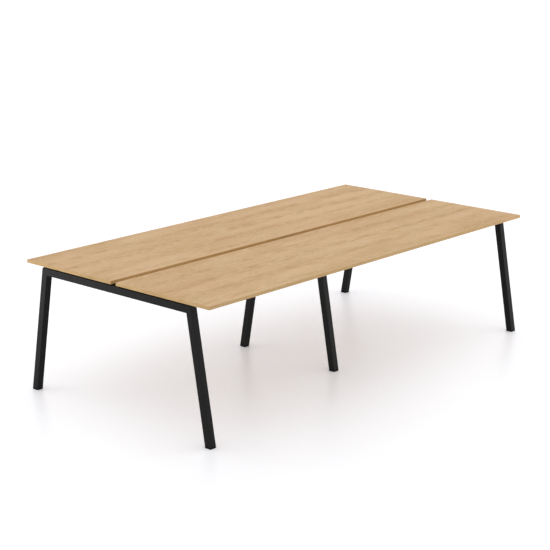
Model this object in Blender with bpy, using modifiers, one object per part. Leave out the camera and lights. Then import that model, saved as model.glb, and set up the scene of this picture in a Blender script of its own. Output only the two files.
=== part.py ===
"""Two-top table on three splayed steel frames, modelled piece by piece in metres, +Z up.

The origin is on the floor, under the middle of the table. +X runs along the table and +Y towards its back.
Left and right are the ends at -X and +X, front and back are the long sides at -Y and +Y.
"""

import math

import bmesh
import bpy
from mathutils import Matrix

# The two tops and their edge strips
TABLE_LENGTH = 2.750
TABLE_HEIGHT = 0.750
TOP_DEPTH = 0.680
TOP_GAP = 0.040
TOP_THICKNESS = 0.018
BAND_THICKNESS = 0.002
BAND_EDGE_RADIUS = 0.001

# Square tube of the frames
TUBE_SIZE = 0.040
TUBE_WALL = 0.002
TUBE_CORNER_RADIUS = 0.0035

# Frames: leg centre lines are set out on the floor
LEG_SPLAY = math.radians(10.0)
END_LEG_INSET = 0.0215
MIDDLE_LEG_SPREAD = 0.712

# Beams between the frames, and the plates welded on their ends
BEAM_WIDTH = 0.020
BEAM_TO_LEG = 0.095
PLATE_THICKNESS = 0.004
PLATE_MARGIN = 0.002
PLATE_CORNER_RADIUS = 0.003
BOLT_TO_BEAM = 0.015
BOLT_TO_PLATE_EDGE = 0.010
BOLT_HOLE_RADIUS = 0.0043

# Spacers under the tops, and the holes of the screws that pass through them
SPACER_RADIUS = 0.012
SPACER_THICKNESS = 0.0054
SCREW_TO_TOP_EDGE = 0.060
SCREW_TO_LEG = 0.060
SCREW_HOLE_RADIUS = 0.00275
PILOT_HOLE_RADIUS = 0.0020
PILOT_HOLE_DEPTH = 0.013

# Leg caps and levelling feet
CAP_HEIGHT = 0.009
CAP_FLOOR_GAP = 0.0005
CAP_RIM = 0.0035
PLUG_DEPTH = 0.026
PAD_THICKNESS = 0.005
PAD_CHAMFER = 0.0008
PAD_SOLE = 0.002
STUD_FOOT_RADIUS = 0.0057
STUD_HEX_RADIUS = 0.0075
STUD_HEX_HEIGHT = 0.004
STUD_RADIUS = 0.004
STUD_LENGTH = 0.030
STUD_TIP_CHAMFER = 0.001

# Clearances: where one piece rests on another, and where two are glued or welded
SEAT_GAP = 0.0003
JOINT_GAP = 0.0002

# How finely round shapes are divided
CORNER_STEPS = 3
TURNED_STEPS = 20
HOLE_SIDES = 12
HEXAGON_SIDES = 6
BAND_EDGE_STEPS = 2
SMOOTH_ANGLE = math.radians(35.0)

# How far cutters reach past a face, how far a plug reaches into its cap, and how near points are welded
CUT_MARGIN = 0.010
PLUG_ROOT = 0.002
WELD_DISTANCE = 1e-6

# Heights worked out from the sizes above
TOP_UNDERSIDE = TABLE_HEIGHT - TOP_THICKNESS
BAR_TOP = TOP_UNDERSIDE - SPACER_THICKNESS - 2 * SEAT_GAP
BAR_BOTTOM = BAR_TOP - TUBE_SIZE
BAR_MIDDLE = (BAR_TOP + BAR_BOTTOM) / 2
CAP_TOP = CAP_FLOOR_GAP + CAP_HEIGHT
LEG_BOTTOM = CAP_TOP + SEAT_GAP

# Places across the table, each measured from its centre line
TABLE_HALF_WIDTH = TOP_DEPTH + TOP_GAP / 2
TUBE_HALF_CUT = TUBE_SIZE / 2 / math.cos(LEG_SPLAY)
END_FOOT_Y = TABLE_HALF_WIDTH - END_LEG_INSET
MIDDLE_FOOT_Y = MIDDLE_LEG_SPREAD / 2

# Places along the table
END_FRAME_X = TABLE_LENGTH / 2 - TUBE_SIZE / 2
BAY_LENGTH = END_FRAME_X - TUBE_SIZE

SIDES = (("front", -1), ("back", 1))
ENDS = (("left", -1), ("right", 1))
FRAMES = (("left", -END_FRAME_X, END_FOOT_Y), ("middle", 0.0, MIDDLE_FOOT_Y), ("right", END_FRAME_X, END_FOOT_Y))


def leg_inner_y(foot_y, height):
    """Distance from the centre line to a leg's inner face at a height above the floor."""
    return foot_y - height * math.tan(LEG_SPLAY) - TUBE_HALF_CUT


def leg_outer_y(foot_y, height):
    """Distance from the centre line to a leg's outer face at a height above the floor."""
    return leg_inner_y(foot_y, height) + 2 * TUBE_HALF_CUT


def mitre_y(foot_y, height):
    """Distance from the centre line to the mitre between crossbar and leg at a height above the floor."""
    inner = leg_inner_y(foot_y, BAR_BOTTOM)
    outer = leg_outer_y(foot_y, BAR_TOP)
    return inner + (outer - inner) * (height - BAR_BOTTOM) / TUBE_SIZE


BEAM_Y = leg_inner_y(MIDDLE_FOOT_Y, BAR_BOTTOM) - BEAM_TO_LEG
BOLT_SPREAD = BEAM_WIDTH / 2 + BOLT_TO_BEAM
INNER_SCREW_Y = TOP_GAP / 2 + SCREW_TO_TOP_EDGE
OUTER_SCREW_Y = leg_inner_y(END_FOOT_Y, BAR_BOTTOM) - SCREW_TO_LEG
END_SCREWS = (("inner", INNER_SCREW_Y), ("outer", OUTER_SCREW_Y))
MIDDLE_SCREWS = (("inner", INNER_SCREW_Y),)


def screws_of(frame):
    """Names and places across the table of the top screws on one half of a frame's crossbar."""
    return MIDDLE_SCREWS if frame == "middle" else END_SCREWS


def clear_scene():
    """Removes every object of the scene."""
    for item in list(bpy.data.objects):
        bpy.data.objects.remove(item)


def new_collection(name):
    """A new collection in the scene."""
    collection = bpy.data.collections.new(name)
    bpy.context.scene.collection.children.link(collection)
    return collection


def new_material(name, colour, roughness, metallic=0.0):
    """A plain surface of one colour."""
    material = bpy.data.materials.new(name)
    material.use_nodes = True
    shader = material.node_tree.nodes["Principled BSDF"]
    shader.inputs["Base Color"].default_value = (*colour, 1.0)
    shader.inputs["Roughness"].default_value = roughness
    shader.inputs["Metallic"].default_value = metallic
    material.diffuse_color = (*colour, 1.0)
    return material


def add_part(name, mesh, material, location=(0, 0, 0), turn=(0, 0, 0), parent=None):
    """One named piece of the table."""
    if not mesh.materials:
        mesh.materials.append(material)
    part = bpy.data.objects.new(name, mesh)
    part.location = location
    part.rotation_euler = turn
    part.parent = parent
    PARTS.objects.link(part)
    return part


def add_cutter(name, mesh, location=(0, 0, 0), parent=None):
    """A hidden solid that is cut from a piece or joined to it."""
    cutter = bpy.data.objects.new(name, mesh)
    cutter.location = location
    cutter.parent = parent
    cutter.hide_render = True
    cutter.display_type = "WIRE"
    CUTTERS.objects.link(cutter)
    return cutter


def add_boolean(part, operation, other):
    """Cuts the other solid from a piece, or joins it to the piece."""
    modifier = part.modifiers.new(operation.title(), "BOOLEAN")
    modifier.operation = operation
    modifier.solver = "EXACT"
    modifier.object = other


def add_empty(name, location):
    """An empty that carries the pieces of one frame."""
    empty = bpy.data.objects.new(name, None)
    empty.location = location
    PARTS.objects.link(empty)
    return empty


def rounded_rectangle(width, height, radius):
    """Outline of a rectangle with round corners about the origin, anticlockwise."""
    points = []
    for corner, (side_x, side_y) in enumerate(((1, 1), (-1, 1), (-1, -1), (1, -1))):
        centre_x = side_x * (width / 2 - radius)
        centre_y = side_y * (height / 2 - radius)
        for step in range(CORNER_STEPS + 1):
            angle = (corner + step / CORNER_STEPS) * math.pi / 2
            points.append((centre_x + radius * math.cos(angle), centre_y + radius * math.sin(angle)))
    return points


def circle(radius, centre_y=0.0):
    """Outline of a round hole or disc whose centre is on the Y axis."""
    angles = [2 * math.pi * step / HOLE_SIDES for step in range(HOLE_SIDES)]
    return [(radius * math.cos(angle), centre_y + radius * math.sin(angle)) for angle in angles]


def drawn_mesh(name, data, prepare=None):
    """Closed mesh of a curve or profile as it is drawn, with its caps and seams welded."""
    drawn = bpy.data.objects.new(name, data)
    bpy.context.scene.collection.objects.link(drawn)
    if prepare:
        prepare(drawn)
    graph = bpy.context.evaluated_depsgraph_get()
    mesh = bpy.data.meshes.new_from_object(drawn.evaluated_get(graph))
    bpy.data.objects.remove(drawn)
    mesh.name = name
    shape = bmesh.new()
    shape.from_mesh(mesh)
    bmesh.ops.remove_doubles(shape, verts=shape.verts, dist=WELD_DISTANCE)
    bmesh.ops.recalc_face_normals(shape, faces=shape.faces)
    shape.to_mesh(mesh)
    shape.free()
    mesh.shade_smooth()
    mesh.set_sharp_from_angle(angle=SMOOTH_ANGLE)
    return mesh


def extruded(name, outlines, length):
    """Mesh of a flat outline, with any holes in it, drawn out along Z about its middle."""
    curve = bpy.data.curves.new(name, "CURVE")
    curve.dimensions = "2D"
    curve.fill_mode = "BOTH"
    curve.extrude = length / 2
    for outline in outlines:
        spline = curve.splines.new("POLY")
        spline.points.add(len(outline) - 1)
        for point, (x, y) in zip(spline.points, outline):
            point.co = (x, y, 0.0, 1.0)
        spline.use_cyclic_u = True
    return drawn_mesh(name, curve)


def turn_round(profile_object):
    """Turns a profile round its Z axis."""
    modifier = profile_object.modifiers.new("Turn", "SCREW")
    modifier.axis = "Z"
    modifier.steps = TURNED_STEPS
    modifier.render_steps = TURNED_STEPS
    modifier.use_merge_vertices = True
    modifier.merge_threshold = WELD_DISTANCE


def turned(name, profile):
    """Mesh of a round piece from its profile, which runs from the top of the axis down the outer side."""
    outline = bpy.data.meshes.new(f"{name}_profile")
    edges = [(index, index + 1) for index in range(len(profile) - 1)]
    outline.from_pydata([(radius, 0.0, height) for radius, height in profile], edges, [])
    return drawn_mesh(name, outline, turn_round)


def tube(name, width, height, length):
    """Mesh of a straight hollow tube along Z."""
    inner_radius = max(TUBE_CORNER_RADIUS - TUBE_WALL, TUBE_WALL / 4)
    outer = rounded_rectangle(width, height, TUBE_CORNER_RADIUS)
    inner = rounded_rectangle(width - 2 * TUBE_WALL, height - 2 * TUBE_WALL, inner_radius)
    return extruded(name, (outer, inner), length)


def cut_ends(mesh, low_end, high_end):
    """Slides the points of a tube's two ends along the tube, to the heights that the functions give."""
    for vertex in mesh.vertices:
        end = high_end if vertex.co.z > 0 else low_end
        vertex.co.z = end(vertex.co.y)
    mesh.update()


def box(name, size):
    """Mesh of a box about the origin."""
    shape = bmesh.new()
    bmesh.ops.create_cube(shape, size=1.0, matrix=Matrix.Diagonal((*size, 1.0)))
    mesh = bpy.data.meshes.new(name)
    shape.to_mesh(mesh)
    shape.free()
    return mesh


def cylinders(name, rods):
    """Mesh of separate round rods, each given by its radius, its length and the matrix that places it."""
    shape = bmesh.new()
    for radius, length, matrix in rods:
        bmesh.ops.create_cone(
            shape, cap_ends=True, segments=HOLE_SIDES, radius1=radius, radius2=radius, depth=length, matrix=matrix
        )
    mesh = bpy.data.meshes.new(name)
    shape.to_mesh(mesh)
    shape.free()
    return mesh


def build_tops():
    """The two boards, with blind holes for their screws."""
    size = (
        TABLE_LENGTH - 2 * (BAND_THICKNESS + JOINT_GAP),
        TOP_DEPTH - 2 * (BAND_THICKNESS + JOINT_GAP),
        TOP_THICKNESS,
    )
    for side, sign in SIDES:
        board_y = sign * (TOP_GAP + TOP_DEPTH) / 2
        board = add_part(f"top_{side}", box(f"top_{side}", size), OAK, (0, board_y, TABLE_HEIGHT - TOP_THICKNESS / 2))
        rods = []
        for frame, frame_x, _ in FRAMES:
            for _, screw_y in screws_of(frame):
                place = (frame_x, sign * screw_y, TOP_UNDERSIDE)
                rods.append((PILOT_HOLE_RADIUS, 2 * PILOT_HOLE_DEPTH, Matrix.Translation(place)))
        holes = add_cutter(f"top_{side}_pilot_holes", cylinders(f"top_{side}_pilot_holes", rods))
        add_boolean(board, "DIFFERENCE", holes)


def edge_strip(name, size, outward, location):
    """One edge strip, with its two outer long edges rounded. Outward is the axis and sign of its outer face."""
    axis, sign = outward
    mesh = box(name, size)
    shape = bmesh.new()
    shape.from_mesh(mesh)
    outer = [vertex for vertex in shape.verts if vertex.co[axis] * sign > 0]
    along = 1 - axis
    edges = []
    for edge in shape.edges:
        start, end = edge.verts
        if start in outer and end in outer and abs(start.co[along] - end.co[along]) > WELD_DISTANCE:
            edges.append(edge)
    bmesh.ops.bevel(
        shape, geom=edges, offset=BAND_EDGE_RADIUS, segments=BAND_EDGE_STEPS, profile=0.5, affect="EDGES"
    )
    shape.to_mesh(mesh)
    shape.free()
    mesh.shade_smooth()
    mesh.set_sharp_from_angle(angle=SMOOTH_ANGLE)
    add_part(name, mesh, OAK_EDGE, location)


def build_edge_strips():
    """Four strips round each top. The long ones cover the ends of the short ones."""
    height = TABLE_HEIGHT - TOP_THICKNESS / 2
    long_size = (TABLE_LENGTH, BAND_THICKNESS, TOP_THICKNESS)
    end_size = (BAND_THICKNESS, TOP_DEPTH - 2 * (BAND_THICKNESS + JOINT_GAP), TOP_THICKNESS)
    end_x = TABLE_LENGTH / 2 - BAND_THICKNESS / 2
    for side, sign in SIDES:
        outer_y = sign * (TABLE_HALF_WIDTH - BAND_THICKNESS / 2)
        inner_y = sign * (TOP_GAP + BAND_THICKNESS) / 2
        edge_strip(f"edge_strip_{side}_outer", long_size, (1, sign), (0, outer_y, height))
        edge_strip(f"edge_strip_{side}_inner", long_size, (1, -sign), (0, inner_y, height))
        for end, end_sign in ENDS:
            place = (end_sign * end_x, (outer_y + inner_y) / 2, height)
            edge_strip(f"edge_strip_{side}_{end}", end_size, (0, end_sign), place)


def crossbar_holes(frame, parent):
    """Rods for the top screws, which pass right through a crossbar, and for the beam bolts in its bay walls."""
    rods = []
    for _, sign in SIDES:
        for _, screw_y in screws_of(frame):
            place = Matrix.Translation((0, sign * screw_y, BAR_MIDDLE))
            rods.append((SCREW_HOLE_RADIUS, TUBE_SIZE + CUT_MARGIN, place))
        for bay, bay_sign in ENDS:
            if bay == frame:
                continue
            for bolt_y in (BEAM_Y - BOLT_SPREAD, BEAM_Y + BOLT_SPREAD):
                place = Matrix.Translation((bay_sign * TUBE_SIZE / 2, sign * bolt_y, BAR_MIDDLE))
                rods.append((BOLT_HOLE_RADIUS, TUBE_SIZE / 2, place @ Matrix.Rotation(math.pi / 2, 4, "Y")))
    name = f"{frame}_crossbar_holes"
    return add_cutter(name, cylinders(name, rods), parent=parent)


def build_crossbar(frame, foot_y, parent):
    """The tube under the tops, mitred at both ends to its legs."""
    name = f"{frame}_crossbar"
    mesh = tube(name, TUBE_SIZE, TUBE_SIZE, 2 * foot_y)

    def end(local_y):
        return mitre_y(foot_y, BAR_MIDDLE - local_y) - JOINT_GAP / 2

    cut_ends(mesh, lambda local_y: -end(local_y), end)
    crossbar = add_part(name, mesh, BLACK_STEEL, (0, 0, BAR_MIDDLE), (-math.pi / 2, 0, 0), parent)
    add_boolean(crossbar, "DIFFERENCE", crossbar_holes(frame, parent))


def build_leg(frame, side, sign, foot_y, parent):
    """One splayed leg, cut level above its cap and mitred to the crossbar. Its origin is on the floor."""
    name = f"{frame}_{side}_leg"
    mesh = tube(name, TUBE_SIZE, TUBE_SIZE, TABLE_HEIGHT)
    sine = math.sin(LEG_SPLAY)
    cosine = math.cos(LEG_SPLAY)
    rise = TUBE_SIZE
    run = mitre_y(foot_y, BAR_TOP) - mitre_y(foot_y, BAR_BOTTOM)

    def level_cut(local_y):
        return (LEG_BOTTOM - sign * local_y * sine) / cosine

    def mitre_cut(local_y):
        across = foot_y + sign * local_y * cosine - mitre_y(foot_y, BAR_BOTTOM)
        up = sign * local_y * sine - BAR_BOTTOM
        return (across * rise - up * run) / (sine * rise + cosine * run) - JOINT_GAP / 2

    cut_ends(mesh, level_cut, mitre_cut)
    add_part(name, mesh, BLACK_STEEL, (0, sign * foot_y, 0), (sign * LEG_SPLAY, 0, 0), parent)


def plug_mesh(name, sign):
    """The part of a leg cap inside the leg: it leans with the leg, and starts inside the cap's square body."""
    size = TUBE_SIZE - 2 * TUBE_WALL - 2 * SEAT_GAP
    outline = rounded_rectangle(size, size / math.cos(LEG_SPLAY), TUBE_WALL)
    mesh = extruded(name, [outline], PLUG_DEPTH + PLUG_ROOT)
    middle = CAP_TOP + (PLUG_DEPTH - PLUG_ROOT) / 2
    for vertex in mesh.vertices:
        vertex.co.z += middle
        vertex.co.y -= sign * (vertex.co.z - CAP_TOP) * math.tan(LEG_SPLAY)
    mesh.update()
    return mesh


def bore_profile():
    """Profile of the stepped hole up a leg cap: the pad's pocket, the hexagon's pocket and the thread."""
    pad_radius = TUBE_SIZE / 2 - CAP_RIM
    hex_radius = STUD_HEX_RADIUS + SEAT_GAP
    thread_radius = STUD_RADIUS + SEAT_GAP
    pad_ceiling = PAD_THICKNESS + SEAT_GAP
    hex_ceiling = pad_ceiling + STUD_HEX_HEIGHT + SEAT_GAP
    top = CAP_TOP + PLUG_DEPTH + CUT_MARGIN
    return [
        (0.0, top),
        (thread_radius, top),
        (thread_radius, hex_ceiling),
        (hex_radius, hex_ceiling),
        (hex_radius, pad_ceiling),
        (pad_radius, pad_ceiling),
        (pad_radius, CAP_FLOOR_GAP - CUT_MARGIN),
        (0.0, CAP_FLOOR_GAP - CUT_MARGIN),
    ]


def pad_profile():
    """Profile of a pad: a disc with a seat in its top for the stud's foot."""
    radius = TUBE_SIZE / 2 - CAP_RIM - SEAT_GAP
    seat_radius = STUD_FOOT_RADIUS + SEAT_GAP
    return [
        (0.0, PAD_SOLE),
        (seat_radius, PAD_SOLE),
        (seat_radius, PAD_THICKNESS),
        (radius - PAD_CHAMFER, PAD_THICKNESS),
        (radius, PAD_THICKNESS - PAD_CHAMFER),
        (radius, PAD_CHAMFER),
        (radius - PAD_CHAMFER, 0.0),
        (0.0, 0.0),
    ]


def stud_profile():
    """Profile of a stud without its hexagon: the tip, the shank, and the foot that turns in the pad."""
    foot_top = PAD_THICKNESS + SEAT_GAP + STUD_HEX_HEIGHT / 2
    tip = PAD_THICKNESS + SEAT_GAP + STUD_HEX_HEIGHT + STUD_LENGTH
    return [
        (0.0, tip),
        (STUD_RADIUS - STUD_TIP_CHAMFER, tip),
        (STUD_RADIUS, tip - STUD_TIP_CHAMFER),
        (STUD_RADIUS, foot_top),
        (STUD_FOOT_RADIUS, foot_top),
        (STUD_FOOT_RADIUS, PAD_SOLE + SEAT_GAP),
        (0.0, PAD_SOLE + SEAT_GAP),
    ]


def hexagon_mesh(name):
    """The six-sided collar of a stud, which stands on the pad."""
    shape = bmesh.new()
    place = Matrix.Translation((0, 0, PAD_THICKNESS + SEAT_GAP + STUD_HEX_HEIGHT / 2))
    bmesh.ops.create_cone(
        shape,
        cap_ends=True,
        segments=HEXAGON_SIDES,
        radius1=STUD_HEX_RADIUS,
        radius2=STUD_HEX_RADIUS,
        depth=STUD_HEX_HEIGHT,
        matrix=place,
    )
    mesh = bpy.data.meshes.new(name)
    shape.to_mesh(mesh)
    shape.free()
    return mesh


def build_foot(place, sign, foot_y, parent):
    """A leg cap, and the pad and stud under it, all about one upright axis through the cap's middle."""
    axis = (0, sign * (foot_y - CAP_TOP * math.tan(LEG_SPLAY)), 0)
    outline = rounded_rectangle(TUBE_SIZE, 2 * TUBE_HALF_CUT, TUBE_CORNER_RADIUS)
    body = extruded(f"foot_cap_{place}", [outline], CAP_HEIGHT)
    body.transform(Matrix.Translation((0, 0, CAP_FLOOR_GAP + CAP_HEIGHT / 2)))
    cap = add_part(f"foot_cap_{place}", body, BLACK_PLASTIC, axis, parent=parent)
    plug_name = f"foot_cap_{place}_plug"
    add_boolean(cap, "UNION", add_cutter(plug_name, plug_mesh(plug_name, sign), axis, parent))
    bore_name = f"foot_cap_{place}_bore"
    add_boolean(cap, "DIFFERENCE", add_cutter(bore_name, turned(bore_name, bore_profile()), axis, parent))

    pad_name = f"foot_pad_{place}"
    add_part(pad_name, turned(pad_name, pad_profile()), PAD_PLASTIC, axis, parent=parent)

    stud_name = f"foot_stud_{place}"
    stud = add_part(stud_name, turned(stud_name, stud_profile()), ZINC_STEEL, axis, parent=parent)
    hexagon_name = f"{stud_name}_hexagon"
    add_boolean(stud, "UNION", add_cutter(hexagon_name, hexagon_mesh(hexagon_name), axis, parent))


def build_spacers(frame, side, sign, parent):
    """The discs with a screw hole that hold a top clear of a crossbar."""
    height = BAR_TOP + SEAT_GAP + SPACER_THICKNESS / 2
    for position, screw_y in screws_of(frame):
        name = f"spacer_{frame}_{side}_{position}"
        mesh = extruded(name, (circle(SPACER_RADIUS), circle(SCREW_HOLE_RADIUS)), SPACER_THICKNESS)
        add_part(name, mesh, RUBBER, (0, sign * screw_y, height), parent=parent)


def build_frames():
    """Three welded frames with their feet, and the spacers that the tops stand on."""
    for frame, frame_x, foot_y in FRAMES:
        carrier = add_empty(f"{frame}_frame", (frame_x, 0, 0))
        build_crossbar(frame, foot_y, carrier)
        for side, sign in SIDES:
            build_leg(frame, side, sign, foot_y, carrier)
            build_foot(f"{frame}_{side}", sign, foot_y, carrier)
            build_spacers(frame, side, sign, carrier)


def plate_mesh(name):
    """An end plate with a bolt hole on each side of its beam."""
    height = TUBE_SIZE - 2 * PLATE_MARGIN
    width = 2 * (BOLT_SPREAD + BOLT_TO_PLATE_EDGE)
    outline = rounded_rectangle(height, width, PLATE_CORNER_RADIUS)
    holes = [circle(BOLT_HOLE_RADIUS, sign * BOLT_SPREAD) for _, sign in SIDES]
    return extruded(name, (outline, *holes), PLATE_THICKNESS)


def build_beams():
    """Two beams in each bay, level with the crossbars, with a plate at each end."""
    plate_step = SEAT_GAP + PLATE_THICKNESS + JOINT_GAP
    along_x = (0, math.pi / 2, 0)
    for bay, bay_sign in ENDS:
        bay_middle = bay_sign * (TUBE_SIZE + BAY_LENGTH) / 2
        for side, sign in SIDES:
            name = f"beam_{bay}_{side}"
            place = (bay_middle, sign * BEAM_Y, BAR_MIDDLE)
            mesh = tube(name, TUBE_SIZE, BEAM_WIDTH, BAY_LENGTH - 2 * plate_step)
            add_part(name, mesh, BLACK_STEEL, place, along_x)
            for end, end_sign in (("inner", -bay_sign), ("outer", bay_sign)):
                plate_x = bay_middle + end_sign * (BAY_LENGTH / 2 - SEAT_GAP - PLATE_THICKNESS / 2)
                plate_name = f"beam_plate_{bay}_{side}_{end}"
                plate_place = (plate_x, sign * BEAM_Y, BAR_MIDDLE)
                add_part(plate_name, plate_mesh(plate_name), BLACK_STEEL, plate_place, along_x)


clear_scene()
PARTS = new_collection("conference_table")
CUTTERS = new_collection("conference_table_cutters")
OAK = new_material("oak_face", (0.62, 0.42, 0.24), 0.45)
OAK_EDGE = new_material("oak_edge", (0.58, 0.37, 0.17), 0.5)
BLACK_STEEL = new_material("black_powder_coat", (0.025, 0.024, 0.024), 0.5)
BLACK_PLASTIC = new_material("black_cap_plastic", (0.018, 0.018, 0.018), 0.55)
PAD_PLASTIC = new_material("dark_pad_plastic", (0.03, 0.03, 0.03), 0.6)
RUBBER = new_material("black_rubber", (0.015, 0.015, 0.015), 0.8)
ZINC_STEEL = new_material("zinc_plated_steel", (0.6, 0.6, 0.58), 0.35, 1.0)
build_tops()
build_edge_strips()
build_frames()
build_beams()
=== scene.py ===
"""Finishes, hardware and studio of a two-top meeting table on three splayed steel frames.

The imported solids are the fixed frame, in metres with +Z up. Left and right are the ends at -X and +X,
front and back the long sides at -Y and +Y. Tops, edge strips, beam plates and spacers keep their solids
and get their finishes here. Tubes, leg caps and levelling feet are drawn again in the same places, with
round corners, chamfers and threads. Screws, bolts and welds, which repeat, are grown with Geometry Nodes.
"""

import logging
import math
from dataclasses import dataclass
from enum import Enum
from functools import partial
from typing import Callable, Iterable, Sequence

import bmesh
import bpy
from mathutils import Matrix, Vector


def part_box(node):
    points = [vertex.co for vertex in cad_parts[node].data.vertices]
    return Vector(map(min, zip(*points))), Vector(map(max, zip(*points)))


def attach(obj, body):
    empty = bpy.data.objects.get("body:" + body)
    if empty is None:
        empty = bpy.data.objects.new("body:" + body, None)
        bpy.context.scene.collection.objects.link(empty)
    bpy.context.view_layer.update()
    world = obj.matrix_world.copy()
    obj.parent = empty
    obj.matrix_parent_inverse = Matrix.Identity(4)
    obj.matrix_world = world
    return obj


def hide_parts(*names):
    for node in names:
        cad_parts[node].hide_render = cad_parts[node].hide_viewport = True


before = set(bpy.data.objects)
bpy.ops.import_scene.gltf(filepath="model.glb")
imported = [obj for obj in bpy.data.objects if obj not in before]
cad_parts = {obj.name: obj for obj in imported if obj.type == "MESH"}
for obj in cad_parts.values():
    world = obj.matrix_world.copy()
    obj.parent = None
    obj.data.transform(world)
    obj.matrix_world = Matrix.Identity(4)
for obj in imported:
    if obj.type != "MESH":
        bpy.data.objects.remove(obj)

LOG = logging.getLogger("meeting_table")
TABLE_BODY = "table"
FRAMES = ("left", "middle", "right")
BAYS = ("left", "right")
PLATES = ("inner", "outer")
SIDES = {"front": -1.0, "back": 1.0}
LEG_SPLAY = math.radians(10.0)
TUBE_WIDTH = 0.040
TUBE_CORNER = 0.0015
WELD_RADIUS = 0.0022
SMOOTH_ANGLE = math.radians(35.0)
X_AXIS = Vector((1.0, 0.0, 0.0))
Y_AXIS = Vector((0.0, 1.0, 0.0))
Z_AXIS = Vector((0.0, 0.0, 1.0))

Point = tuple[float, float]
Triple = tuple[float, float, float]
Colour = Triple
Place = tuple[Vector, Vector]
Outline = Callable[[float], float]
Material = bpy.types.Material
Mesh = bpy.types.Mesh
Socket = bpy.types.NodeSocket


class Slot(Enum):
    """The record's material slot names, which nothing here uses."""

    STEEL = "black_steel"
    CAP = "black_plastic"
    PAD = "pad_plastic"
    ZINC = "zinc_steel"


class Grain(Enum):
    """The way that a wood pattern runs: along the table or across it."""

    ALONG = 0
    ACROSS = 1


class Graph:
    """Writes a node tree, with short calls for what materials and shapes share."""

    def __init__(self, tree: bpy.types.NodeTree) -> None:
        """Takes the tree that is written."""
        self.tree = tree

    def fill(self, socket: Socket, value: object) -> None:
        """Links a socket to another, or sets it.

        Args:
            socket: The socket.
            value: Another socket, or the value itself.
        """
        if isinstance(value, bpy.types.NodeSocket):
            self.tree.links.new(value, socket)
        else:
            socket.default_value = value

    def node(self, kind: str, settings: dict[str, str] | None = None, **inputs: object) -> bpy.types.Node:
        """Adds a node.

        Args:
            kind: Type of the node.
            settings: Names and values of its own settings.
            inputs: Socket names, with underscores for spaces, and a socket to link or a value to set.

        Returns:
            The node.
        """
        made = self.tree.nodes.new(kind)
        for name, value in (settings or {}).items():
            setattr(made, name, value)
        self.join(made, **inputs)
        return made

    def join(self, node: bpy.types.Node, **inputs: object) -> None:
        """Fills sockets of a node, named as for a new one."""
        for name, value in inputs.items():
            self.fill(node.inputs[name.replace("_", " ")], value)

    def math(self, operation: str, *values: Socket | float) -> Socket:
        """Result of one sum.

        Args:
            operation: Name of the sum.
            values: Its terms, each a socket or a number.

        Returns:
            The result.
        """
        made = self.node("ShaderNodeMath", {"operation": operation})
        for socket, value in zip(made.inputs, values):
            self.fill(socket, value)
        return made.outputs[0]


@dataclass(frozen=True)
class Layer:
    """One cloudy pattern.

    Attributes:
        size: Size of its marks along x, y and z in metres, where the grain runs along x.
        detail: Number of finer layers in it.
        roughness: Strength of the finer layers.
        shift: Offset of the pattern, so that two of them differ.
        kept: The lowest and highest values that count.
        weight: How strongly it shows.
    """

    size: Triple
    detail: float
    roughness: float = 0.5
    shift: float = 0.0
    kept: Point = (0.0, 1.0)
    weight: float = 1.0


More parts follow.
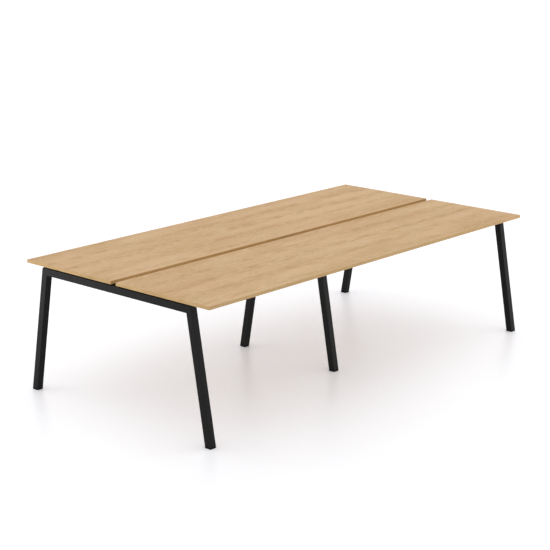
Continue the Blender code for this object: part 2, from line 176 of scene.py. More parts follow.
class Painter(Graph):
    """Draws one material on a Principled shader, in the object's own coordinates."""

    def __init__(self, name: str) -> None:
        """Starts the material.

        Args:
            name: Name of the material.
        """
        self.material = bpy.data.materials.new(name)
        self.material.use_nodes = True
        super().__init__(self.material.node_tree)
        self.shader = self.tree.nodes["Principled BSDF"]
        self.place = self.node("ShaderNodeTexCoord").outputs["Object"]

    def shade(self, **inputs: object) -> None:
        """Gives the shader's sockets their patterns, or values that are the same all over."""
        self.join(self.shader, **inputs)

    def noise(self, layer: Layer, grain: Grain = Grain.ALONG) -> Socket:
        """Value of a cloudy layer.

        Args:
            layer: The layer.
            grain: The way that its marks run.

        Returns:
            The value, from 0 to 1.
        """
        along, across, through = (1.0 / size for size in layer.size)
        scale = (along, across, through) if grain is Grain.ALONG else (across, along, through)
        shift = (layer.shift, layer.shift, layer.shift)
        place = self.node("ShaderNodeMapping", Vector=self.place, Scale=scale, Location=shift).outputs[0]
        cloud = self.node("ShaderNodeTexNoise", Vector=place, Scale=1.0, Detail=layer.detail)
        cloud.inputs["Roughness"].default_value = layer.roughness
        return cloud.outputs["Fac"]

    def marks(self, layer: Layer, grain: Grain = Grain.ALONG) -> Socket:
        """Value of a cloudy layer, with the values that count spread from 0 to 1."""
        return self.spread(self.noise(layer, grain), layer.kept)

    def cells(self, size: float) -> Socket:
        """Distance to the nearest of scattered points, in sizes, as in the grains of a textured coat."""
        return self.node("ShaderNodeTexVoronoi", Vector=self.place, Scale=1.0 / size).outputs["Distance"]

    def axis(self, index: int) -> Socket:
        """One of the three object coordinates, by its index."""
        return self.node("ShaderNodeSeparateXYZ", Vector=self.place).outputs[index]

    def spread(self, value: Socket, source: Point, target: Point = (0.0, 1.0)) -> Socket:
        """Moves a pattern smoothly from one range to another, and holds it there.

        Args:
            value: The pattern.
            source: Its lowest and highest values that count.
            target: What they become.

        Returns:
            The pattern in the new range.
        """
        limits = dict(zip(("From_Min", "From_Max", "To_Min", "To_Max"), (*source, *target)))
        made = self.node("ShaderNodeMapRange", {"interpolation_type": "SMOOTHSTEP"}, Value=value, **limits)
        return made.outputs["Result"]

    def weigh(self, *terms: tuple[Socket, float]) -> Socket:
        """Sum of patterns.

        Args:
            terms: The patterns and their weights.

        Returns:
            The sum.
        """
        total: Socket | float = 0.0
        for value, weight in terms:
            total = self.math("MULTIPLY_ADD", value, weight, total)
        return total

    def mix(self, factor: Socket, first: Socket | Colour, second: Socket | Colour) -> Socket:
        """Colour between two others.

        Args:
            factor: 0 for the first colour, 1 for the second.
            first: A colour or a coloured pattern.
            second: Another.

        Returns:
            The mixed colour.
        """
        made = self.node("ShaderNodeMix", {"data_type": "RGBA"})
        self.fill(made.inputs[0], factor)
        sockets = [socket for socket in made.inputs if socket.type == "RGBA"]
        for socket, colour in zip(sockets, (first, second)):
            self.fill(socket, (*colour, 1.0) if isinstance(colour, tuple) else colour)
        return next(socket for socket in made.outputs if socket.type == "RGBA")

    def bump(self, height: Socket, depth: float) -> None:
        """Raises and sinks the surface by a pattern, in which a step of 1 has the depth in metres."""
        self.shade(Normal=self.node("ShaderNodeBump", Height=height, Distance=depth).outputs["Normal"])


@dataclass(frozen=True)
class Oak:
    """Oak-look decor: rows of darker figure with pores, and paler wood with rays between. Sizes in metres.

    Attributes:
        row_turns: How far the rows wander, in half pitches, as row_start is too.
        row_repeat: Distance after which the rows start again, or 0 where they don't.
        row_edge: Where a row begins and is full, from 0 between two rows to 1 in its middle.
        heart: Place in a repeat where the figure is strongest.
        heart_reach: Distances from there at which it has its two strengths.
        vessel_crowd: Share of vessels that the figure adds, and share that shows everywhere.
        rose: Tint of the rosier patches. The others have its opposite.
    """

    name: str
    light: Colour
    dark: Colour
    pore: Colour
    ray: Colour
    grain: Grain
    row_half_pitch: float = 0.072
    row_turns: float = 0.7
    row_start: float = 0.0
    row_repeat: float = 0.0
    row_edge: Point = (0.30, 0.97)
    heart: float = 0.40
    heart_reach: Point = (0.04, 0.24)
    heart_strength: Point = (1.25, 0.75)
    figure_weight: float = 0.36
    tone_range: Point = (0.02, 0.88)
    vessel_crowd: Point = (0.45, 0.40)
    rose: Colour = (1.015, 0.984, 1.026)
    wander: Layer = Layer((1.30, 0.30, 0.30), 2.0, 0.4, 7.0)
    segment: Layer = Layer((0.12, 0.030, 0.030), 4.0, 0.62, 3.0, (0.41, 0.62))
    cloud: Layer = Layer((0.55, 0.14, 0.14), 2.0, 0.5, 0.0, (0.30, 0.70), 0.42)
    line: Layer = Layer((0.50, 0.0050, 0.0050), 3.0, 0.6, 11.0, (0.32, 0.68), 0.10)
    fibre: Layer = Layer((0.11, 0.0018, 0.0018), 4.0, 0.65, 1.0, (0.30, 0.70), 0.26)
    fleck: Layer = Layer((0.026, 0.0100, 0.0100), 3.0, 0.65, 5.0, (0.49, 0.65), 0.80)
    vessel: Layer = Layer((0.034, 0.0017, 0.0017), 1.0, 0.5, 13.0, (0.56, 0.70))
    ray_fleck: Layer = Layer((0.044, 0.0064, 0.0064), 3.0, 0.65, 9.0, (0.50, 0.71), 0.88)
    blush: Layer = Layer((0.60, 0.20, 0.20), 2.0, 0.5, 17.0, (0.34, 0.66))
    shine_range: Point = (0.20, 0.80)
    roughness: Point = (0.60, 0.75)
    gloss: float = 0.08
    relief: float = 0.00006
    fibre_height: float = 0.6
    pore_height: float = -0.8

    def tinted(self, power: float) -> Colour:
        """The light wood, tinted towards rose, or away from it by a negative power."""
        return tuple(value * tint**power for value, tint in zip(self.light, self.rose))

    def figure(self, paint: Painter) -> Socket:
        """Rows of growth figure that wander along the grain, broken into segments.

        Args:
            paint: The material's painter.

        Returns:
            Darkness of the figure.
        """
        across = paint.axis(1 - self.grain.value)
        if self.row_repeat:
            across = paint.math("WRAP", across, self.row_repeat, 0.0)
        counted = paint.math("MULTIPLY_ADD", across, 1.0 / self.row_half_pitch, self.row_start)
        counted = paint.math("MULTIPLY_ADD", paint.noise(self.wander, self.grain), self.row_turns, counted)
        rows = paint.spread(paint.math("PINGPONG", counted, 1.0), self.row_edge)
        figure = paint.math("MULTIPLY", rows, paint.marks(self.segment, self.grain))
        if self.row_repeat:
            off_heart = paint.math("ABSOLUTE", paint.math("SUBTRACT", across, self.heart))
            strength = paint.spread(off_heart, self.heart_reach, self.heart_strength)
            figure = paint.math("MULTIPLY", figure, strength)
        return figure

    def pores(self, paint: Painter, figure: Socket) -> Socket:
        """Dark flecks in the rows, and fine vessels all over that crowd there.

        Args:
            paint: The material's painter.
            figure: Darkness of the rows.

        Returns:
            Darkness of the pores.
        """
        crowd = paint.math("MULTIPLY_ADD", figure, *self.vessel_crowd)
        vessels = paint.math("MULTIPLY", paint.marks(self.vessel, self.grain), crowd)
        flecks = paint.math("MULTIPLY", paint.marks(self.fleck, self.grain), figure)
        return paint.math("MAXIMUM", flecks, vessels)

    def material(self) -> Material:
        """Paints the decor.

        Returns:
            The material.
        """
        paint = Painter(self.name)
        figure = self.figure(paint)
        pores = self.pores(paint, figure)
        toned = (self.cloud, self.line, self.fibre)
        clouds, lines, fibres = (paint.marks(layer, self.grain) for layer in toned)
        weights = (self.figure_weight, *(layer.weight for layer in toned))
        tone = paint.weigh(*zip((figure, clouds, lines, fibres), weights))
        between = paint.math("SUBTRACT", 1.0, figure)
        rays = paint.math("MULTIPLY", paint.marks(self.ray_fleck, self.grain), between)
        light = paint.mix(paint.marks(self.blush, self.grain), self.tinted(-1.0), self.tinted(1.0))
        colour = paint.mix(paint.spread(tone, self.tone_range), light, self.dark)
        colour = paint.mix(paint.math("MULTIPLY", rays, self.ray_fleck.weight), colour, self.ray)
        colour = paint.mix(paint.math("MULTIPLY", pores, self.fleck.weight), colour, self.pore)
        dullness = paint.spread(fibres, self.shine_range, self.roughness)
        paint.shade(Base_Color=colour, Roughness=dullness, Specular_IOR_Level=self.gloss)
        paint.bump(paint.weigh((fibres, self.fibre_height), (pores, self.pore_height)), self.relief)
        return paint.material


@dataclass(frozen=True)
class Mottled:
    """A finish of two close tones in soft patches, under a fine grain. Sizes in metres.

    Attributes:
        patch: The patches. Their weight is their share in the roughness.
        fine: The fine grain, with its share.
        shine_range: Values of both together that give the two roughnesses.
    """

    name: str
    first: Colour
    second: Colour
    patch: Layer
    fine: Layer
    shine_range: Point
    roughness: Point
    relief: float
    gloss: float = 0.5
    metal: float = 0.0

    def grain(self, paint: Painter) -> Socket:
        """Value of the fine grain."""
        return paint.noise(self.fine)

    def height(self, paint: Painter, grain: Socket) -> Socket:
        """Height of the surface, which is the grain itself."""
        return grain

    def material(self) -> Material:
        """Paints the finish.

        Returns:
            The material.
        """
        paint = Painter(self.name)
        patches = paint.noise(self.patch)
        grain = self.grain(paint)
        colour = paint.mix(paint.spread(patches, self.patch.kept), self.first, self.second)
        both = paint.weigh((patches, self.patch.weight), (grain, self.fine.weight))
        dullness = paint.spread(both, self.shine_range, self.roughness)
        paint.shade(Base_Color=colour, Roughness=dullness)
        paint.shade(Specular_IOR_Level=self.gloss, Metallic=self.metal)
        paint.bump(self.height(paint, grain), self.relief)
        return paint.material


@dataclass(frozen=True)
class PowderCoat(Mottled):
    """Fine-textured powder coat: small round grains on a slightly uneven film."""

    patch: Layer = Layer((0.030, 0.030, 0.030), 4.0, 0.6, 0.0, (0.30, 0.75), 0.6)
    fine: Layer = Layer((0.0007, 0.0007, 0.0007), 0.0, weight=0.4)
    film: Layer = Layer((0.0042, 0.0042, 0.0042), 2.0, weight=0.5)
    shine_range: Point = (0.20, 0.80)
    roughness: Point = (0.40, 0.54)
    relief: float = 0.00005
    gloss: float = 0.10
    grain_height: float = -0.7

    def grain(self, paint: Painter) -> Socket:
        """Distance from the middles of the round grains."""
        return paint.cells(self.fine.size[0])

    def height(self, paint: Painter, grain: Socket) -> Socket:
        """Height of the surface: the round grains and the film."""
        return paint.weigh((grain, self.grain_height), (paint.noise(self.film), self.film.weight))


@dataclass(frozen=True)
class Moulded(Mottled):
    """Moulded plastic or rubber: a faint flow pattern and a spark-eroded grain."""

    patch: Layer = Layer((0.012, 0.012, 0.030), 3.0, 0.55, 0.0, (0.30, 0.75), 0.5)
    fine: Layer = Layer((0.0004, 0.0004, 0.0004), 2.0, weight=0.5)
    shine_range: Point = (0.25, 0.75)
    roughness: Point = (0.45, 0.62)
    relief: float = 0.00003


@dataclass(frozen=True)
class ZincPlate(Mottled):
    """Bright zinc plating: a cool and a warm tint in soft patches, with fine drawn lines."""

    patch: Layer = Layer((0.006, 0.006, 0.006), 3.0, 0.5, 0.0, (0.35, 0.65), 0.5)
    fine: Layer = Layer((0.001, 0.001, 0.0002), 2.0, weight=0.5)
    shine_range: Point = (0.30, 0.70)
    roughness: Point = (0.24, 0.42)
    relief: float = 0.00001
    metal: float = 1.0


class Finishes:
    """Every finish of the table, painted once."""

    def __init__(self) -> None:
        """Paints the finishes. The oaks' colours are the light and dark wood, the pores and the rays."""
        face = ((0.655, 0.45, 0.26), (0.543, 0.346, 0.174), (0.43, 0.256, 0.115), (0.72, 0.52, 0.33))
        rows = {"row_half_pitch": 0.075, "row_turns": 0.3, "row_start": -0.15, "row_repeat": 0.72}
        self.oak_face = Oak("oak_face", *face, Grain.ALONG, **rows).material()
        long = ((0.549, 0.364, 0.183), (0.480, 0.314, 0.148), (0.36, 0.223, 0.093), (0.57, 0.40, 0.21))
        self.edge_along = Oak("oak_edge_along", *long, Grain.ALONG).material()
        ends = ((0.619, 0.416, 0.207), (0.542, 0.359, 0.168), (0.42, 0.262, 0.109), (0.66, 0.47, 0.25))
        self.edge_across = Oak("oak_edge_across", *ends, Grain.ACROSS).material()
        # Painted shade: the inner strips, which face each other across the gap, take a darker copy of the
        # edge oak that stands in for the shade in the gap.
        painted_shade_colours = ((0.53, 0.318, 0.129), (0.47, 0.265, 0.095), (0.36, 0.190, 0.065), (0.57, 0.356, 0.157))
        self.edge_inner_painted_shade = Oak("oak_edge_inner", *painted_shade_colours, Grain.ALONG).material()
        coat = ((0.0050, 0.0048, 0.0048), (0.0068, 0.0065, 0.0065))
        self.coat = PowderCoat("black_powder_coat", *coat).material()
        cap = ((0.0040, 0.0040, 0.0040), (0.0060, 0.0060, 0.0060))
        self.cap = Moulded("black_cap_plastic", *cap, roughness=(0.55, 0.70), gloss=0.06).material()
        pad = ((0.020, 0.020, 0.021), (0.028, 0.028, 0.029))
        self.pad = Moulded("dark_pad_plastic", *pad).material()
        rubber = ((0.012, 0.012, 0.012), (0.020, 0.020, 0.019))
        self.rubber = Moulded("black_rubber", *rubber, roughness=(0.75, 0.92)).material()
        self.zinc = ZincPlate("zinc_plate", (0.60, 0.62, 0.64), (0.66, 0.63, 0.56)).material()
        bolt = ((0.010, 0.010, 0.011), (0.020, 0.020, 0.021))
        self.black_bolt = Moulded("blackened_steel", *bolt, roughness=(0.30, 0.45)).material()


def show(name: str, data: bpy.types.ID) -> bpy.types.Object:
    """Puts a mesh, lamp or camera in the scene.

    Args:
        name: Name of its object.
        data: The mesh, lamp or camera.

    Returns:
        The object.
    """
    shown = bpy.data.objects.new(name, data)
    bpy.context.scene.collection.objects.link(shown)
    return shown


def add_piece(mesh: Mesh, finish: Material, body: str, stands_for: Sequence[str] = ()) -> None:
    """Puts a finished mesh in the scene, as a piece of the same name that rides on a body.

    Args:
        mesh: The mesh, in place.
        finish: Its material.
        body: Name of the body that carries it.
        stands_for: Names of the solids that it is drawn in place of.
    """
    mesh.materials.clear()
    mesh.materials.append(finish)
    piece = show(mesh.name, mesh)
    piece.modifiers.new("Flat faces", "WEIGHTED_NORMAL").keep_sharp = True
    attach(piece, body)
    if stands_for:
        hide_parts(*stands_for)
    LOG.info("piece %s on %s, %d faces", mesh.name, body, len(mesh.polygons))


def dress_node(name: str, finish: Material) -> None:
    """Gives a solid that is kept its finish.

    Args:
        name: Name of the solid's node.
        finish: Its material.
    """
    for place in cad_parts[name].material_slots:
        place.material = finish
    LOG.info("solid %s in %s", name, finish.name)


def middle_of(node: str) -> Vector:
    """The middle of a solid's box."""
    low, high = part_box(node)
    return (low + high) / 2


def mesh_of(name: str, shape: bmesh.types.BMesh) -> Mesh:
    """Turns a drawn shape into a mesh.

    Args:
        name: Name of the mesh.
        shape: The shape, which is freed.

    Returns:
        The mesh.
    """
    mesh = bpy.data.meshes.new(name)
    shape.to_mesh(mesh)
    shape.free()
    return mesh


def smooth(mesh: Mesh) -> None:
    """Shades a mesh smooth, apart from its sharp edges."""
    mesh.shade_smooth()
    mesh.set_sharp_from_angle(angle=SMOOTH_ANGLE)


def rounded_rectangle(
    width: float, height: float, radius: float, steps: int, flat_parts: int = 1
) -> list[Point]:
    """Outline of a rectangle with round corners about the origin, anticlockwise.

    Args:
        width: Size along the first axis.
        height: Size along the second axis.
        radius: Radius of the corners.
        steps: Number of divisions of each corner.
        flat_parts: Number of divisions of each flat.

    Returns:
        The outline's points.
    """
    reach_x, reach_y = width / 2 - radius, height / 2 - radius
    centres = ((reach_x, reach_y), (-reach_x, reach_y), (-reach_x, -reach_y), (reach_x, -reach_y))
    points = []
    for corner, (x, y) in enumerate(centres):
        for step in range(steps + 1):
            angle = (corner + step / steps) * math.pi / 2
            points.append((x + radius * math.cos(angle), y + radius * math.sin(angle)))
        start_x, start_y = points[-1]
        next_x, next_y = centres[(corner + 1) % len(centres)]
        for part in range(1, flat_parts):
            share = part / flat_parts
            points.append((start_x + (next_x - x) * share, start_y + (next_y - y) * share))
    return points


def loft(name: str, rings: Sequence[Sequence[Vector]], hollow: bool = False) -> Mesh:
    """Closed mesh through rings that all have as many points.

    Args:
        name: Name of the mesh.
        rings: Rings in order, all running the same way round.
        hollow: True where the last ring joins the first, as in a tube. Else both end rings are closed.

    Returns:
        The mesh, smooth apart from its sharp edges.
    """
    shape = bmesh.new()
    loops = [[shape.verts.new(point) for point in ring] for ring in rings]
    pairs = list(zip(loops, loops[1:]))
    if hollow:
        pairs.append((loops[-1], loops[0]))
    else:
        shape.faces.new(loops[0])
        shape.faces.new(loops[-1])
    for ring, following in pairs:
        for index, vertex in enumerate(ring):
            after = (index + 1) % len(ring)
            shape.faces.new((vertex, ring[after], following[after], following[index]))
    bmesh.ops.recalc_face_normals(shape, faces=shape.faces)
    mesh = mesh_of(name, shape)
    smooth(mesh)
    return mesh


@dataclass(frozen=True)
class Cut:
    """A plane that ends a tube."""

    point: Vector
    normal: Vector

    def meets(self, start: Vector, direction: Vector) -> Vector:
        """The point where the line from a start in a direction meets the plane."""
        reach = (self.point - start).dot(self.normal) / direction.dot(self.normal)
        return start + direction * reach


@dataclass(frozen=True)
class TubeLine:
    """Where a tube runs: point and direction of its centre line, and the first axis of its section."""

    centre: Vector
    direction: Vector
    across: Vector

    def at(self, point: Point) -> Vector:
        """Place of a point of the tube's section."""
        return self.centre + self.across * point[0] + self.direction.cross(self.across) * point[1]


@dataclass(frozen=True)
class TubeSection:
    """Cross-section of a hollow tube with round corners. Sizes in metres."""

    width: float
    height: float
    wall: float = 0.002
    corner: float = TUBE_CORNER
    corner_steps: int = 8
    least_corner: float = 0.0005

    def outline(self, inset: float) -> list[Point]:
        """Outline of the tube, or one that lies inside it by an inset."""
        radius = max(self.corner - inset, self.least_corner)
        return rounded_rectangle(self.width - 2 * inset, self.height - 2 * inset, radius, self.corner_steps)

    def ring(self, line: TubeLine, cut: Cut, inset: float = 0.0) -> list[Vector]:
        """Outline of a tube along a line, on a cut, or one that lies inside it by an inset."""
        return [cut.meets(line.at(point), line.direction) for point in self.outline(inset)]

    def tube(self, name: str, line: TubeLine, low: Cut, high: Cut) -> Mesh:
        """A tube between two cuts.

        Args:
            name: Name of the mesh.
            line: Where the tube runs.
            low: Its first cut.
            high: Its second cut.

        Returns:
            The tube's mesh, with its bore.
        """
        ends = ((low, self.wall), (low, 0.0), (high, 0.0), (high, self.wall))
        return loft(name, [self.ring(line, cut, inset) for cut, inset in ends], hollow=True)


class NodeGroup(Graph):
    """A Geometry Nodes tree with named inputs, grown on a mesh and kept as a plain mesh."""

    def __init__(self, name: str, inputs: dict[str, str]) -> None:
        """Starts the tree.

        Args:
            name: Name of the tree.
            inputs: Names of its inputs and their socket types, besides the geometry and the finish.
        """
        super().__init__(bpy.data.node_groups.new(name, "GeometryNodeTree"))
        self.tree.is_modifier = True
        self.sockets = {}
        face = self.tree.interface
        kinds = {"Geometry": "NodeSocketGeometry", **inputs, "Finish": "NodeSocketMaterial"}
        for label, kind in kinds.items():
            self.sockets[label] = face.new_socket(label, in_out="INPUT", socket_type=kind)
        face.new_socket("Geometry", in_out="OUTPUT", socket_type="NodeSocketGeometry")
        self.given = self.tree.nodes.new("NodeGroupInput").outputs
        self.result = self.tree.nodes.new("NodeGroupOutput").inputs["Geometry"]

    def vector(self, x: Socket | float, y: Socket | float, z: Socket | float) -> Socket:
        """A vector of three terms."""
        return self.node("ShaderNodeCombineXYZ", X=x, Y=y, Z=z).outputs[0]

    def lifted(self, geometry: Socket, height: Socket) -> Socket:
        """Geometry that is moved upwards."""
        lift = self.vector(0.0, 0.0, height)
        return self.node("GeometryNodeTransform", Geometry=geometry, Translation=lift).outputs[0]

    def end(self, geometry: Socket) -> None:
        """Ends the tree: real faces with their material.

        Args:
            geometry: What the tree has made.
        """
        real = self.node("GeometryNodeRealizeInstances", Geometry=geometry).outputs[0]
        painted = self.node("GeometryNodeSetMaterial", Geometry=real, Material=self.given["Finish"])
        self.tree.links.new(painted.outputs[0], self.result)

    def grow(self, name: str, seed_mesh: Mesh, values: dict[str, object]) -> Mesh:
        """Grows the tree on a mesh.

        Args:
            name: Name of the new mesh.
            seed_mesh: The points or paths that it grows on.
            values: Names and values of the tree's inputs.

        Returns:
            A plain mesh.
        """
        carrier = show(f"{name}_carrier", seed_mesh)
        modifier = carrier.modifiers.new("Grow", "NODES")
        modifier.node_group = self.tree
        for label, value in values.items():
            modifier[self.sockets[label].identifier] = value
        graph = bpy.context.evaluated_depsgraph_get()
        mesh = bpy.data.meshes.new_from_object(carrier.evaluated_get(graph))
        carrier.modifiers.remove(modifier)
        bpy.data.objects.remove(carrier)
        bpy.data.meshes.remove(seed_mesh)
        mesh.name = name
        smooth(mesh)
        return mesh


class FastenerTree(NodeGroup):
    """Button heads with a six-sided socket on a washer, one on each point, each turned by chance."""

    LENGTHS = (
        "Head radius", "Head height", "Socket width", "Socket depth", "Washer radius", "Washer thickness"
    )
    AXIS = "axis"
    ROUND_SIDES = 32
    SOCKET_SIDES = 6
    DOME_STEPS = 6
    DOME_SHARE = 0.72

    def __init__(self) -> None:
        """Builds the tree."""
        lengths = dict.fromkeys(self.LENGTHS, "NodeSocketFloat")
        super().__init__("fasteners", {**lengths, "Turn seed": "NodeSocketInt"})
        fastener = self.node("GeometryNodeJoinGeometry")
        for part in (self.washer(), self.head()):
            self.tree.links.new(part, fastener.inputs[0])
        self.end(self.scatter(fastener.outputs[0]))

    def disc(self, sides: int, radius: Socket, height: Socket, steps: int = 1) -> Socket:
        """An upright disc that stands on the point.

        Args:
            sides: Number of its sides.
            radius: Its radius.
            height: Its height.
            steps: Number of divisions of its height.

        Returns:
            The disc.
        """
        disc = self.node(
            "GeometryNodeMeshCylinder", Vertices=sides, Side_Segments=steps, Radius=radius, Depth=height
        )
        return self.lifted(disc.outputs["Mesh"], self.math("MULTIPLY", height, 0.5))

    def washer(self) -> Socket:
        """The washer under a head."""
        return self.disc(self.ROUND_SIDES, self.given["Washer radius"], self.given["Washer thickness"])

    def head(self) -> Socket:
        """A domed head with its socket cut in.

        Returns:
            The head, standing on the washer.
        """
        height, depth = self.given["Head height"], self.given["Socket depth"]
        blank = self.disc(self.ROUND_SIDES, self.given["Head radius"], height, self.DOME_STEPS)
        point = self.node("GeometryNodeInputPosition").outputs[0]
        x, y, z = self.node("ShaderNodeSeparateXYZ", Vector=point).outputs
        rise = self.math("POWER", self.math("DIVIDE", z, height), 2.0)
        narrow = self.math("SQRT", self.math("SUBTRACT", 1.0, self.math("MULTIPLY", rise, self.DOME_SHARE)))
        domed = self.vector(self.math("MULTIPLY", x, narrow), self.math("MULTIPLY", y, narrow), z)
        dome = self.node("GeometryNodeSetPosition", Geometry=blank, Position=domed).outputs[0]
        corner = self.math("DIVIDE", self.given["Socket width"], 2 * math.cos(math.pi / self.SOCKET_SIDES))
        tool = self.disc(self.SOCKET_SIDES, corner, self.math("MULTIPLY", depth, 2.0))
        pocket = self.lifted(tool, self.math("SUBTRACT", height, depth))
        cut = self.node("GeometryNodeMeshBoolean", {"operation": "DIFFERENCE"}, Mesh_1=dome)
        self.fill(cut.inputs["Mesh 2"], pocket)
        return self.lifted(cut.outputs[0], self.given["Washer thickness"])

    def scatter(self, fastener: Socket) -> Socket:
        """Sets a fastener on each point, along the point's axis.

        Args:
            fastener: The fastener.

        Returns:
            All the fasteners.
        """
        named = self.node("GeometryNodeInputNamedAttribute", {"data_type": "FLOAT_VECTOR"}, Name=self.AXIS)
        axis = named.outputs["Attribute"]
        stand = self.node("FunctionNodeAlignRotationToVector", {"axis": "Z"}, Vector=axis)
        points = self.node("GeometryNodeInstanceOnPoints", Points=self.given["Geometry"], Instance=fastener)
        self.join(points, Rotation=stand.outputs[0])
        chance = self.node("FunctionNodeRandomValue", {"data_type": "FLOAT"}, Seed=self.given["Turn seed"])
        chance.inputs["Max"].default_value = 1.0
        number = next(socket for socket in chance.outputs if socket.type == "VALUE")
        turn = self.vector(0.0, 0.0, self.math("MULTIPLY", number, math.tau))
        turned = self.node("GeometryNodeRotateInstances", Instances=points.outputs[0], Rotation=turn)
        return turned.outputs[0]

    def place(
        self, name: str, places: Sequence[Place], sizes: Sequence[float], seed: int, finish: Material
    ) -> Mesh:
        """Fasteners at their places.

        Args:
            name: Name of the mesh.
            places: Point and outward axis of each fastener.
            sizes: The lengths, in the order of the tree's inputs.
            seed: Number that fixes how the sockets are turned.
            finish: The material.

        Returns:
            One mesh of all the fasteners.
        """
        points = bpy.data.meshes.new(f"{name}_points")
        points.from_pydata([point for point, _ in places], [], [])
        attribute = points.attributes.new(self.AXIS, "FLOAT_VECTOR", "POINT")
        for entry, (_, axis) in zip(attribute.data, places):
            entry.vector = axis
        values = {**dict(zip(self.LENGTHS, sizes)), "Turn seed": seed, "Finish": finish}
        return self.grow(name, points, values)


class WeldTree(NodeGroup):
    """Weld beads: a round bead along each path, rippled as it was laid."""

    NUMBERS = ("Bead radius", "Step", "Ripple share", "Steps a ripple")
    BEAD_SIDES = 10
    STEPS_A_RADIUS = 3
    STEPS_A_RIPPLE = 4.0

    def __init__(self) -> None:
        """Builds the tree."""
        super().__init__("welds", dict.fromkeys(self.NUMBERS, "NodeSocketFloat"))
        given = self.given
        path = self.node("GeometryNodeMeshToCurve", Mesh=given["Geometry"]).outputs[0]
        even = self.node("GeometryNodeResampleCurve", {"mode": "LENGTH"}, Curve=path, Length=given["Step"])
        index = self.node("GeometryNodeInputIndex").outputs[0]
        phase = self.math("MULTIPLY", self.math("DIVIDE", index, given["Steps a ripple"]), math.tau)
        ripple = self.math("MULTIPLY_ADD", self.math("SINE", phase), given["Ripple share"], 1.0)
        radius = self.math("MULTIPLY", ripple, given["Bead radius"])
        circle = self.node("GeometryNodeCurvePrimitiveCircle", Resolution=self.BEAD_SIDES, Radius=1.0)
        swept = self.node("GeometryNodeCurveToMesh", Curve=even.outputs[0], Scale=radius, Fill_Caps=True)
        self.fill(swept.inputs["Profile Curve"], circle.outputs[0])
        self.end(swept.outputs[0])

    def lay(self, name: str, paths: Iterable[Sequence[Vector]], ripple: float, finish: Material) -> Mesh:
        """Beads along paths.

        Args:
            name: Name of the mesh.
            paths: The paths. One of more than two points is closed.
            ripple: Share of the bead's radius by which it swells and narrows.
            finish: The material.

        Returns:
            One mesh of all the beads.
        """
        shape = bmesh.new()
        for path in paths:
            corners = [shape.verts.new(point) for point in path]
            closing = corners[:1] if len(corners) > 2 else []
            for start, end in zip(corners, corners[1:] + closing):
                shape.edges.new((start, end))
        numbers = (WELD_RADIUS, WELD_RADIUS / self.STEPS_A_RADIUS, ripple, self.STEPS_A_RIPPLE)
        values = {**dict(zip(self.NUMBERS, numbers)), "Finish": finish}
        return self.grow(name, mesh_of(f"{name}_lines", shape), values)


@dataclass
class Tops:
    """The two tops and the strips round their edges, which keep their solids."""

    finishes: Finishes

    def dress(self) -> None:
        """Gives the tops and strips their oak looks, with the grain along each strip, and painted shade in
        the gap.
        """
        for side in SIDES:
            dress_node(f"top_{side}", self.finishes.oak_face)
            dress_node(f"edge_strip_{side}_outer", self.finishes.edge_along)
            # The inner strips get the oak with painted shade in its colours.
            dress_node(f"edge_strip_{side}_inner", self.finishes.edge_inner_painted_shade)
            for end in BAYS:
                dress_node(f"edge_strip_{side}_{end}", self.finishes.edge_across)


@dataclass
class SteelFrame:
    """One welded frame: a crossbar on two splayed legs, mitred and ground flush. Sizes in metres."""

    label: str
    finishes: Finishes
    section: TubeSection = TubeSection(TUBE_WIDTH, TUBE_WIDTH)
    seat_gap: float = 0.0003

    def __post_init__(self) -> None:
        """Reads the crossbar's box."""
        self.bar_low, self.bar_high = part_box(f"{self.label}_crossbar")
        self.bar = TubeLine((self.bar_low + self.bar_high) / 2, Y_AXIS, X_AXIS)

    def leg(self, side: str) -> TubeLine:
        """Where a leg runs: upwards from the middle of its cap's top.

        Args:
            side: Front or back.

        Returns:
            The leg's line.
        """
        foot = middle_of(f"foot_pad_{self.label}_{side}")
        foot.z = self.leg_bottom(side).point.z - self.seat_gap
        up = Vector((0.0, -SIDES[side] * math.sin(LEG_SPLAY), math.cos(LEG_SPLAY)))
        return TubeLine(foot, up, X_AXIS)

    def leg_bottom(self, side: str) -> Cut:
        """The level cut at a leg's foot."""
        return Cut(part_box(f"{self.label}_{side}_leg")[0], Z_AXIS)

    def mitre(self, side: str) -> Cut:
        """The plane where a leg meets the crossbar, from the inner corner below to the outer corner above.

        Args:
            side: Front or back.

        Returns:
            The cut.
        """
        leg = self.leg(side)
        out = Vector((0.0, SIDES[side] * self.section.height / 2 / math.cos(LEG_SPLAY), 0.0))
        inner = Cut(self.bar_low, Z_AXIS).meets(leg.centre - out, leg.direction)
        outer = Cut(self.bar_high, Z_AXIS).meets(leg.centre + out, leg.direction)
        return Cut(inner, X_AXIS.cross(outer - inner))

    def build(self) -> None:
        """Draws the three tubes of the frame."""
        node = f"{self.label}_crossbar"
        front, back = (self.mitre(side) for side in SIDES)
        bar = self.section.tube(f"{node}_tube", self.bar, front, back)
        add_piece(bar, self.finishes.coat, TABLE_BODY, [node])
        for side in SIDES:
            node = f"{self.label}_{side}_leg"
            leg = self.section.tube(f"{node}_tube", self.leg(side), self.leg_bottom(side), self.mitre(side))
            add_piece(leg, self.finishes.coat, TABLE_BODY, [node])

    def welds(self) -> list[list[Vector]]:
        """Paths of the fillet welds that are left in the two inner corners.

        Returns:
            One straight path for each mitre, across the tube's flat.
        """
        reach = X_AXIS * (self.section.width / 2 - self.section.corner - WELD_RADIUS)
        corners = [self.mitre(side).point for side in SIDES]
        return [[corner - reach, corner + reach] for corner in corners]


